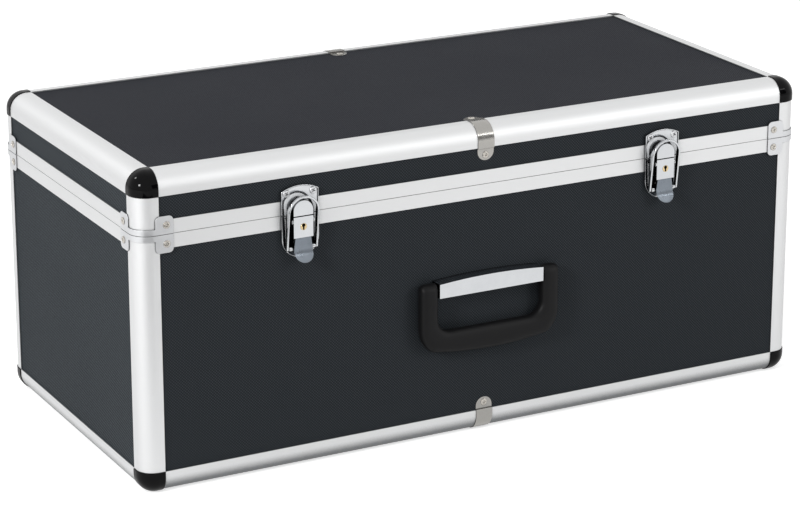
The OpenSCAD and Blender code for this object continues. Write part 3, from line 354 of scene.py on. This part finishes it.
def laminate(name, across, upwards, tones):
    """Diamonds in the plane of two axes a and b, with the pitch p:
    height = min(|sin(pi (a + b) / p)|, |sin(pi (a - b) / p)|)."""
    made = bpy.data.materials.new(name)
    made.use_nodes = True
    tree = made.node_tree
    shader = tree.nodes["Principled BSDF"]
    place = add_node(tree, "ShaderNodeTexCoord")
    parts = add_node(tree, "ShaderNodeSeparateXYZ", {0: place.outputs["Object"]})
    waves = []
    for operation in ("ADD", "SUBTRACT"):
        diagonal = add_node(tree, "ShaderNodeMath",
                            {0: parts.outputs[across], 1: parts.outputs[upwards]},
                            operation=operation)
        turns = add_node(tree, "ShaderNodeMath", {0: diagonal.outputs[0], 1: math.pi / EMBOSS},
                         operation="MULTIPLY")
        wave = add_node(tree, "ShaderNodeMath", {0: turns.outputs[0]}, operation="SINE")
        waves.append(add_node(tree, "ShaderNodeMath", {0: wave.outputs[0]}, operation="ABSOLUTE"))
    height = add_node(tree, "ShaderNodeMath", {0: waves[0].outputs[0], 1: waves[1].outputs[0]},
                      operation="MINIMUM")
    crown = add_node(tree, "ShaderNodeMapRange",
                     {"Value": height.outputs[0], "From Min": 0.2, "From Max": 0.8},
                     interpolation_type="SMOOTHSTEP")
    # Painted highlight: the raised middle of each cell takes the lighter tone.
    colour = add_node(tree, "ShaderNodeMix", {0: crown.outputs[0], 6: linear(tones[0]),
                                              7: linear(tones[1])}, data_type="RGBA")
    tree.links.new(colour.outputs[2], shader.inputs["Base Color"])
    clouds = add_node(tree, "ShaderNodeTexNoise",
                      {"Vector": place.outputs["Object"], "Scale": 9.0, "Detail": 3.0})
    rough = add_node(tree, "ShaderNodeMapRange",
                     {"Value": clouds.outputs["Fac"], "To Min": 0.6, "To Max": 0.72})
    tree.links.new(rough.outputs[0], shader.inputs["Roughness"])
    relief = add_node(tree, "ShaderNodeBump",
                      {"Height": crown.outputs[0], "Distance": RELIEF, "Strength": 1.0})
    tree.links.new(relief.outputs[0], shader.inputs["Normal"])
    shader.inputs["Specular IOR Level"].default_value = 0.06
    return made


# Painted light: each face is a lit or shaded copy of the same film, with its own pair of tones.
laminate_front = laminate("black_embossed_laminate_front", "X", "Z", ("#1a1d20", "#373b3f"))
laminate_side = laminate("black_embossed_laminate_side", "Y", "Z", ("#0c0e10", "#4a5055"))
laminate_top = laminate("black_embossed_laminate_top", "X", "Y", ("#121418", "#3c3e45"))
print("materials:", len(bpy.data.materials))

# %% [markdown]
# ## From a CAD solid to a finished piece
# Nothing real has a perfectly sharp edge: sheet is deburred, castings and extrusions have
# small radii, and those radii are what catches the light. The CAD node's triangles are copied,
# welded and joined into flat faces, and a Bevel modifier rounds every edge over 30 degrees. A
# Weighted Normal modifier then lets the largest face at each corner decide how it is shaded,
# or the roundings would bend the light on flat plates. The copy stands for its node, on the
# same body.

# %% Bodies and slots of the nodes
RECORD = frame["record"]
BODY_OF = {node: body for body, nodes in RECORD["behaviour"]["bodies"].items() for node in nodes}
SLOT_OF = {part["node"]: part["material_slot"] for part in RECORD["subparts"]}
WELD = 2e-6
FLAT_DEGREES, EDGE_DEGREES, NO_SHARP_EDGE = 0.8, 30, 180
LARGEST_FACE_ONLY = 100


def settle(piece, body, slot, *nodes):
    """Says what a new piece rides on and which nodes it stands for. The slot is not used."""
    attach(piece, body)
    if nodes:
        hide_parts(*nodes)
    return piece


def new_piece(name, points, faces, material):
    """A mesh object at the origin from an array of points in metres and a list of faces."""
    mesh = bpy.data.meshes.new(name)
    mesh.from_pydata(np.asarray(points).tolist(), [], faces)
    mesh.update()
    piece = bpy.data.objects.new(name, mesh)
    bpy.context.scene.collection.objects.link(piece)
    mesh.materials.append(material)
    return piece


def smooth(piece, sharp_degrees):
    """Smooth shading, apart from edges that turn by more than an angle."""
    piece.data.polygons.foreach_set("use_smooth", np.ones(len(piece.data.polygons), dtype=bool))
    piece.data.set_sharp_from_angle(angle=math.radians(sharp_degrees))
    return piece


def rounded_copy(name, node, material, radius_mm):
    """The node's own shape, welded, with its sharp edges rounded and its faces shaded flat."""
    mesh = frame["nodes"][node].data.copy()
    work = bmesh.new()
    work.from_mesh(mesh)
    bmesh.ops.remove_doubles(work, verts=work.verts, dist=WELD)
    bmesh.ops.dissolve_limit(work, angle_limit=math.radians(FLAT_DEGREES), verts=work.verts,
                             edges=work.edges)
    work.to_mesh(mesh)
    work.free()
    mesh.name = name
    mesh.materials.clear()
    mesh.materials.append(material)
    piece = bpy.data.objects.new(name, mesh)
    bpy.context.scene.collection.objects.link(piece)
    round_edges = piece.modifiers.new("rounded edges", "BEVEL")
    round_edges.width = radius_mm * MM
    round_edges.segments = 2
    round_edges.limit_method = "ANGLE"
    round_edges.angle_limit = math.radians(EDGE_DEGREES)
    smooth(piece, NO_SHARP_EDGE)
    flatten = piece.modifiers.new("large faces stay flat", "WEIGHTED_NORMAL")
    flatten.mode = "FACE_AREA"
    flatten.weight = LARGEST_FACE_ONLY
    flatten.keep_sharp = False
    return settle(piece, BODY_OF[node], SLOT_OF[node], node)


# %% Profiles, plates and other solids whose shape is right
FINISHES = [
    (anodised["x"], 0.25, ["base_front_edge", "base_back_edge", "lid_front_edge", "lid_back_edge",
                           "base_front_rim", "base_back_rim", "lid_front_rim", "lid_back_rim"]),
    (anodised["y"], 0.25, ["base_left_edge", "base_right_edge", "lid_left_edge", "lid_right_edge",
                           "base_left_rim", "base_right_rim", "lid_left_rim", "lid_right_rim"]),
    (anodised["z"], 0.25, ["base_corner_posts", "lid_corner_posts"]),
    (zinc_plate, 0.25, ["base_corner_brackets", "lid_corner_brackets"]),
    (cap_plastic, 0.35, ["base_corner_caps", "lid_corner_caps"]),
    (polished_nickel, 0.15, ["base_edge_clips", "lid_edge_clips"]),
    (brushed_nickel, 0.15, ["left_hinge_base_leaf", "right_hinge_base_leaf", "hinge_lid_leaves",
                            "hinge_pins", "handle_pins", "handle_screws"]),
    (chrome_plate, 0.45, ["handle_bracket", "left_keeper", "right_keeper"]),
    (chrome_plate, 0.35, ["left_latch_base", "right_latch_base", "latch_lever_pins"]),
    (chrome_plate, 0.15, ["left_lock_case", "right_lock_case"]),
    (turned_brass, 0.12, ["left_lock_plug", "right_lock_plug"]),
    (lining_felt, 0.9, ["base_lining", "lid_lining"]),
]
for material, radius, nodes in FINISHES:
    for node in nodes:
        rounded_copy(node + "_finished", node, material, radius)

# %% Panels keep their CAD mesh and get the laminate
PANELS = [
    (laminate_front, ["base_front_panel", "base_back_panel", "lid_front_panel", "lid_back_panel"]),
    (laminate_side, ["base_left_panel", "base_right_panel", "lid_left_panel", "lid_right_panel"]),
    (laminate_top, ["base_bottom_panel", "lid_top_panel"]),
]
for material, nodes in PANELS:
    for node in nodes:
        frame["nodes"][node].data.materials.clear()
        frame["nodes"][node].data.materials.append(material)

# %% [markdown]
# ## Shapes made from rings
# Rivets, screws, the grip, the loops and the thumb tabs are all tubes of some kind: a closed
# ring of points is carried along a path while it changes size and shape. Neighbouring rings
# are joined by four-sided faces, and one face closes each end.

# %% Rings and skins
def turned_rings(profile, foot, out, turns=40):
    """Rings of a turned shape, one for each (r, h): foot + h out + r (u cos t + v sin t)."""
    u = np.roll(out, 1)
    v = np.cross(out, u)
    t = np.linspace(0, 2 * np.pi, turns, endpoint=False)
    r, h = np.array(profile).T * MM
    circle = np.cos(t)[:, None] * u + np.sin(t)[:, None] * v
    return foot + h[:, None, None] * out + r[:, None, None] * circle


def section_rings(centres, across, depth, power, turns):
    """Rings with a rounded-box section: centre + across c + depth s, where c and s are cos t and
    sin t with their sizes raised to 2 / power. A power of 2 is an ellipse, a large one a box."""
    t = np.linspace(0, 2 * np.pi, turns, endpoint=False) + np.pi / turns
    c = np.sign(np.cos(t)) * np.abs(np.cos(t)) ** (2 / power)
    s = np.sign(np.sin(t)) * np.abs(np.sin(t)) ** (2 / power)
    sideways, inwards = across[:, None] * c[None, :, None], depth[:, None] * s[None, :, None]
    return centres[:, None] + sideways + inwards


def skin(name, tubes, material, sharp_degrees=40):
    """One closed skin over each tube: quads between neighbouring rings and a face on each end."""
    points, faces, base = [], [], 0
    for tube in tubes:
        count, turns = tube.shape[:2]
        grid = base + np.arange(count * turns).reshape(count, turns)
        after = np.roll(grid, -1, axis=1)
        quads = np.stack([grid[:-1], after[:-1], after[1:], grid[1:]], axis=-1)
        faces += quads.reshape(-1, 4).tolist()
        faces += [grid[0][::-1].tolist(), grid[-1].tolist()]
        points.append(tube.reshape(-1, 3))
        base += count * turns
    piece = new_piece(name, np.concatenate(points), faces, material)
    work = bmesh.new()
    work.from_mesh(piece.data)
    bmesh.ops.recalc_face_normals(work, faces=work.faces)
    work.to_mesh(piece.data)
    work.free()
    return smooth(piece, sharp_degrees)


# %% [markdown]
# ## Rivets and screws
# The places of the rivets are read from the CAD nodes. Each separate solid has a box that is
# square across its axis, so the odd side is the axis. A pulled rivet has a domed head with a
# small crater, where its mandrel broke off, and its edge is undercut a little, so a dark line
# runs round it; painted shade in the steel's colour darkens that line and the crater further.
# The screws of the lid plates are pan heads with a cross recess, and painted shade in the
# zinc's colour darkens the recess and the foot of each head.

# %% Where the rivets sit
HEAD = 0.9 * MM
SAME_PLACE = 1e-5
LATCH_PLATE = (150 * MM, 210 * MM)


def islands(node):
    """Boxes of a node's separate solids. Points in one place count as one, and each takes the
    least label among its neighbours along the edges, until no label changes."""
    mesh = frame["nodes"][node].data
    points = np.empty(len(mesh.vertices) * 3)
    mesh.vertices.foreach_get("co", points)
    points = points.reshape(-1, 3)
    edges = np.empty(len(mesh.edges) * 2, dtype=np.int64)
    mesh.edges.foreach_get("vertices", edges)
    cells = np.round(points / SAME_PLACE).astype(np.int64)
    same = np.unique(cells, axis=0, return_inverse=True)[1].ravel()
    first, second = same[edges.reshape(-1, 2)].T
    label = np.arange(same.max() + 1)
    while True:
        least = np.minimum(label[first], label[second])
        spread = label.copy()
        np.minimum.at(spread, first, least)
        np.minimum.at(spread, second, least)
        if (spread == label).all():
            break
        label = spread
    group = label[same]
    return [(points[group == g].min(axis=0), points[group == g].max(axis=0))
            for g in np.unique(group)]


def rivet_seats(node):
    """For each rivet: the foot of its head, its outward direction, head radius and grip in mm."""
    seats = []
    for low, high in islands(node):
        sides = high - low
        axis = int(np.argmax(np.abs(sides - np.median(sides))))
        out = np.zeros(3)
        out[axis] = np.sign((low + high)[axis] / 2 - middle[axis])
        foot = (low + high) / 2
        foot[axis] = (high if out[axis] > 0 else low)[axis] - out[axis] * HEAD
        seats.append((foot, out, np.median(sides) / 2 / MM, (sides[axis] - HEAD) / MM))
    return seats


def rivet_rings(foot, out, radius, grip):
    """A shank, an undercut edge, a dome 0.9 mm high, and the crater with the mandrel's stub."""
    shank = 1.5
    head = np.array([(0.90, 0.0), (1.0, 0.2), (1.0, 0.36), (0.93, 0.58), (0.82, 0.74),
                     (0.66, 0.86), (0.5, 0.9), (0.43, 0.86), (0.38, 0.62), (0.33, 0.36),
                     (0.22, 0.33), (0.16, 0.44), (0.04, 0.5)])
    head[:, 0] *= radius
    return turned_rings([(shank, -grip), (shank, 0.0)] + head.tolist(), foot, out)


def screw_rings(foot, out, radius, grip):
    """A pan head, lowered by deep inside a cross: each arm is a rectangle with soft edges,
    min(clip((half - |side|) / soft), clip((reach - |along|) / soft)), and the deeper arm counts."""
    turns, cross_turn = 96, 0.5
    half, reach, soft, deep = 0.36, 1.75, 0.1, 0.75
    rim = np.array([(0.66, -grip), (0.66, 0.0), (0.9, 0.0), (1.0, 0.22), (1.0, 0.4), (0.95, 0.6)])
    inner = np.linspace(0.9, 0.02, 26)
    dome = 0.9 - 0.2 * inner ** 2
    profile = np.concatenate([rim, np.stack([inner, dome], axis=1)]) * [radius, 1.0]
    rings = turned_rings(profile, foot, out, turns)
    t = np.linspace(0, 2 * np.pi, turns, endpoint=False)[None] + cross_turn
    x, y = profile[:, :1] * np.cos(t), profile[:, :1] * np.sin(t)
    arms = [np.minimum(np.clip((half - abs(side)) / soft, 0, 1),
                       np.clip((reach - abs(along)) / soft, 0, 1))
            for side, along in ((x, y), (y, x))]
    cross = np.where(profile[:, 1:] > rim[-1, 1], np.maximum(*arms), 0)
    return rings - (deep * MM * cross)[..., None] * out


# %% Rivets and screws of both halves
for node in ("base_rivets", "lid_rivets"):
    rivets, screws = [], []
    for seat in rivet_seats(node):
        foot, out = seat[:2]
        in_front = node == "lid_rivets" and out[1] < 0
        on_latch = in_front and LATCH_PLATE[0] < abs(foot[0]) < LATCH_PLATE[1]
        (screws if on_latch else rivets).append(seat)
    settle(skin(node + "_finished", [rivet_rings(*seat) for seat in rivets], rivet_steel),
           BODY_OF[node], SLOT_OF[node], node)
    if screws:
        settle(skin("latch_screws", [screw_rings(*seat) for seat in screws], zinc_plate, 30),
               BODY_OF[node], SLOT_OF[node])
    print(node, "rivets", len(rivets), "screws", len(screws))

# %% [markdown]
# ## The grip
# The grip is one moulding that turns on two stub pins: two flat arms and a thicker bar whose
# underside is bowed. A mould for it has generous radii, because hands close round it. Pairs of
# points, one on the inner and one on the outer outline, give the middle and the width of each
# ring. The depth shrinks as a half circle above the pins, so that the arms can turn.

# %% Grip
EYE_R, EYE_CORNER, ARM_GAP, ARM_WIDTH = 6.7, 5, 103.4, 16.6
BAR, INNER_R, OUTER_R, BOW_R = 22.0, 13.0, 26.0, 340.0
grip_box = np.array(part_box("handle_grip"))
pin_z = grip_box[1][2] - EYE_R * MM
half_gap = ARM_GAP / 2
half_out = half_gap + ARM_WIDTH
drop = (pin_z - grip_box[0][2]) / MM


def grip_outline():
    """Inner and outer points of half the grip in mm, from the top of an arm to the bar's middle."""
    top = 6.65 * np.sin(np.linspace(0.97, 0, 9) * np.pi / 2)
    turn = np.radians(np.linspace(0, 90, 22))
    low = BAR - drop
    arm = np.linspace(0, 1, 8)[1:]
    along = np.linspace(1, 0, 16)[1:]
    past_straight = np.maximum(top - 1.7, 0)
    round_in = EYE_CORNER - np.sqrt(np.maximum(EYE_CORNER ** 2 - past_straight ** 2, 0))
    inner_x = np.concatenate([half_gap + round_in * 0.5, np.full(len(arm), half_gap),
                              half_gap - INNER_R * (1 - np.cos(turn)),
                              (half_gap - INNER_R) * along])
    inner_z = np.concatenate([top, arm * (low + INNER_R), low + INNER_R * (1 - np.sin(turn)),
                              np.full(len(along), low)])
    outer_x = np.concatenate([half_out - round_in, np.full(len(arm), half_out),
                              half_out - OUTER_R * (1 - np.cos(turn)),
                              (half_out - OUTER_R) * along])
    outer_z = np.concatenate([top, arm * (OUTER_R - drop), -drop + OUTER_R * (1 - np.sin(turn)),
                              np.full(len(along), -drop)])
    outer_z = np.maximum(outer_z, BOW_R - drop - np.sqrt(BOW_R ** 2 - outer_x ** 2))
    return np.stack([inner_x, inner_z], axis=1), np.stack([outer_x, outer_z], axis=1)


inner, outer = grip_outline()
inner = np.concatenate([inner, inner[-2::-1] * [-1, 1]])
outer = np.concatenate([outer, outer[-2::-1] * [-1, 1]])
centre, reach = (inner + outer) / 2, (outer - inner) / 2
grip_y = grip_box[:, 1].mean()
half_depth = np.sqrt(np.maximum(EYE_R ** 2 - np.maximum(centre[:, 1], 0) ** 2, 0.2))
centres = np.stack([centre[:, 0] * MM, np.full(len(centre), grip_y), pin_z + centre[:, 1] * MM],
                   axis=1)
across = np.stack([reach[:, 0], np.zeros(len(reach)), reach[:, 1]], axis=1) * MM
depth = np.stack([np.zeros(len(reach)), -half_depth, np.zeros(len(reach))], axis=1) * MM
grip = skin("handle_grip_moulding", [section_rings(centres, across, depth, 2.7, 56)],
            grip_plastic)
settle(grip, "handle", SLOT_OF["handle_grip"], "handle_grip")
print("grip rings:", len(centres), "drop from the pins:", round(drop, 2), "mm")

# %% [markdown]
# ## The draw latches
# Pulling the thumb tab down swings the lever, and the loop that is hinged low on it draws the
# lid's keeper towards the base. The tab is sheet with a soft bend, never a sharp one, because
# sheet cracks on a sharp edge. The loop is a pressed strip that stands on edge, deepest where
# its legs end and thin at its arch, and its two ends turn in to the lever. The lever's side
# walls are the CAD lever, cut off behind its flat tab.

# %% One latch: tab, lever walls, loop and a rolled rim on the lid plate
WALLS_OUT = 5.95
END_X, END_OUT, END_UP = 5.6, 4.0, -28.5
TURNED_END = [(1.2, 0.0), (1.3, 0.15), (1.3, 2.6), (1.9, 2.8), (2.1, 3.1), (2.1, 6.3), (1.9, 6.6),
              (1.3, 6.7), (1.3, 8.0)]
LATCHES = {"left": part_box("left_lock_case"), "right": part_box("right_lock_case")}


def latch_points(middle_x, x, out, up):
    """Points from millimetres: x from the latch's middle, out from the rims, and up from the
    parting line."""
    return np.stack(np.broadcast_arrays(middle_x + np.asarray(x) * MM,
                                        FRONT - np.asarray(out) * MM,
                                        PARTING + np.asarray(up) * MM), axis=-1)


def tab_rings(middle_x):
    """The tab's sheet: down behind the lock, round a 12 mm bend of 34 degrees, then a half-round
    end. Its edges curl outwards by curl (x / half)^2, which stiffens it."""
    top, bend, radius, thick, lobe = -13.6, -27.4, 12.0, 0.9, 6.5
    sheet_out, wide_half, curl_mm, curl_start = 6.43, 8.5, 0.5, 8
    turn = np.radians(34)
    straight, arc = top - bend, radius * turn
    length = np.concatenate([np.linspace(0, straight, 10), straight + np.linspace(0, arc, 9)[1:],
                             straight + arc + np.linspace(0, lobe, 22)[1:]])
    angle = np.clip((length - straight) / radius, 0, turn)
    past = np.maximum(length - straight - arc, 0)
    out = sheet_out + radius * (1 - np.cos(angle)) + past * np.sin(turn)
    up = np.maximum(top - length, bend) - radius * np.sin(angle) - past * np.cos(turn)
    half = np.interp(length, [0, 5.2, 5.3, 15.0, 30], [7.0, 7.0, 7.2, wide_half, wide_half])
    in_lobe = length - (length[-1] - wide_half)
    lobe_half = np.sqrt(np.maximum(wide_half ** 2 - in_lobe ** 2, 0.3))
    half = np.where(in_lobe > 0, lobe_half, half)
    centres = latch_points(middle_x, 0, out, up)
    zero = np.zeros(len(length))
    across = np.stack([half, zero, zero], axis=1) * MM
    depth = np.stack([zero, -np.cos(angle), -np.sin(angle)], axis=1) * thick / 2 * MM
    rings = section_rings(centres, across, depth, 6.0, 48)
    curl = ((rings[..., 0] - middle_x) / (half[:, None] * MM)) ** 2
    rings[..., 1] -= curl_mm * MM * curl * np.clip(length / curl_start, 0, 1)[:, None]
    return rings


def loop_rings(middle_x):
    """The loop's strip: straight legs and a half-circle, between a back and a front whose
    distances from the rims follow the height. The feet are rounded off."""
    leg_x, foot, shoulder = 13.6, -28.5, 3.4
    foot_drop, foot_depth_squared = 1.7, 2.9
    turn = np.linspace(0, np.pi, 41)
    low = foot - foot_drop * np.sin(np.linspace(1, 0, 7) * np.pi / 2)
    leg = np.concatenate([low, np.linspace(foot, shoulder, 26)[1:-1]])
    x = np.concatenate([np.full(len(leg), leg_x), leg_x * np.cos(turn), np.full(len(leg), -leg_x)])
    up = np.concatenate([leg, shoulder + leg_x * np.sin(turn), leg[::-1]])
    heading = np.concatenate([np.zeros(len(leg)), turn, np.full(len(leg), np.pi)])
    back = np.interp(up, [foot, -7, 4, 11], [2.3, 3.4, 4.4, 8.35])
    front = np.interp(up, [foot, -8, 8, 19], [5.7, 8.2, 10.35, 10.95])
    depth = (front - back) / 2
    foot_depth = np.sqrt(np.maximum(foot_depth_squared - (up - foot) ** 2, 0.05))
    depth = np.where(up < foot, foot_depth, depth)
    centres = latch_points(middle_x, x, (front + back) / 2, up)
    zero = np.zeros(len(x))
    across = np.stack([np.cos(heading), zero, np.sin(heading)], axis=1) * MM
    return section_rings(centres, across, np.stack([zero, -depth, zero], axis=1) * MM, 3.2, 32)


def plate_rim_rings(middle_x):
    """The lid plate's rolled rim: up one side, round both corners under a shallow arc, and down."""
    half, corner, top, arc = 16.7, 3.6, 24.0, 36.0
    crown, inset, bead_across, bead_out, bead_depth = 25.4, 0.55, 0.5, 1.25, 0.75
    turn = np.radians(np.linspace(0, 90, 10))
    x = np.concatenate([[half, half], half - corner * (1 - np.cos(turn)),
                        np.linspace(half - corner, 0, 12)[1:]])
    up = np.concatenate([[0.8, 12.0], top - corner * (1 - np.sin(turn)), np.full(11, 26.0)])
    ceiling = crown - arc + np.sqrt(arc ** 2 - x ** 2) - inset
    up = np.minimum(up, ceiling)
    x, up = np.concatenate([x, -x[-2::-1]]), np.concatenate([up, up[-2::-1]])
    along = np.stack([np.gradient(x), np.gradient(up)], axis=1)
    along /= np.linalg.norm(along, axis=1)[:, None]
    zero = np.zeros(len(x))
    across = np.stack([along[:, 1], zero, -along[:, 0]], axis=1) * bead_across * MM
    depth = np.stack([zero, zero - bead_depth, zero], axis=1) * MM
    return section_rings(latch_points(middle_x, x, bead_out, up), across, depth, 2.4, 20)


for side, (low, high) in LATCHES.items():
    middle_x = (low[0] + high[0]) / 2
    lever, loop = side + "_latch_lever", side + "_latch_loop"
    walls = rounded_copy(side + "_lever_walls", lever, dark_nickel, 0.2)
    work = bmesh.new()
    work.from_mesh(walls.data)
    everything = work.verts[:] + work.edges[:] + work.faces[:]
    cut = bmesh.ops.bisect_plane(work, geom=everything, plane_co=(0, FRONT - WALLS_OUT * MM, 0),
                                 plane_no=(0, -1, 0), clear_outer=True)
    bmesh.ops.holes_fill(work, edges=[edge for edge in cut["geom_cut"]
                                      if isinstance(edge, bmesh.types.BMEdge)])
    work.to_mesh(walls.data)
    work.free()
    settle(skin(side + "_thumb_tab", [tab_rings(middle_x)], dark_nickel),
           BODY_OF[lever], SLOT_OF[lever])
    ends = []
    for way in (-1, 1):
        foot = latch_points(middle_x, way * END_X, END_OUT, END_UP)
        ends.append(turned_rings(TURNED_END, foot, np.array([way, 0.0, 0.0]), 24))
    settle(skin(side + "_pressed_loop", [loop_rings(middle_x)] + ends, chrome_plate),
           BODY_OF[loop], SLOT_OF[loop], loop)
    keeper = side + "_keeper"
    settle(skin(side + "_plate_rim", [plate_rim_rings(middle_x)], chrome_plate),
           BODY_OF[keeper], SLOT_OF[keeper])
print("latches at", [round((low[0] + high[0]) / 2, 4) for low, high in LATCHES.values()])

# %% [markdown]
# ## Finish
# The finished pieces must not make the object larger.

# %% View settings
scene = bpy.context.scene
scene.view_settings.view_transform = "Standard"
bpy.context.view_layer.update()
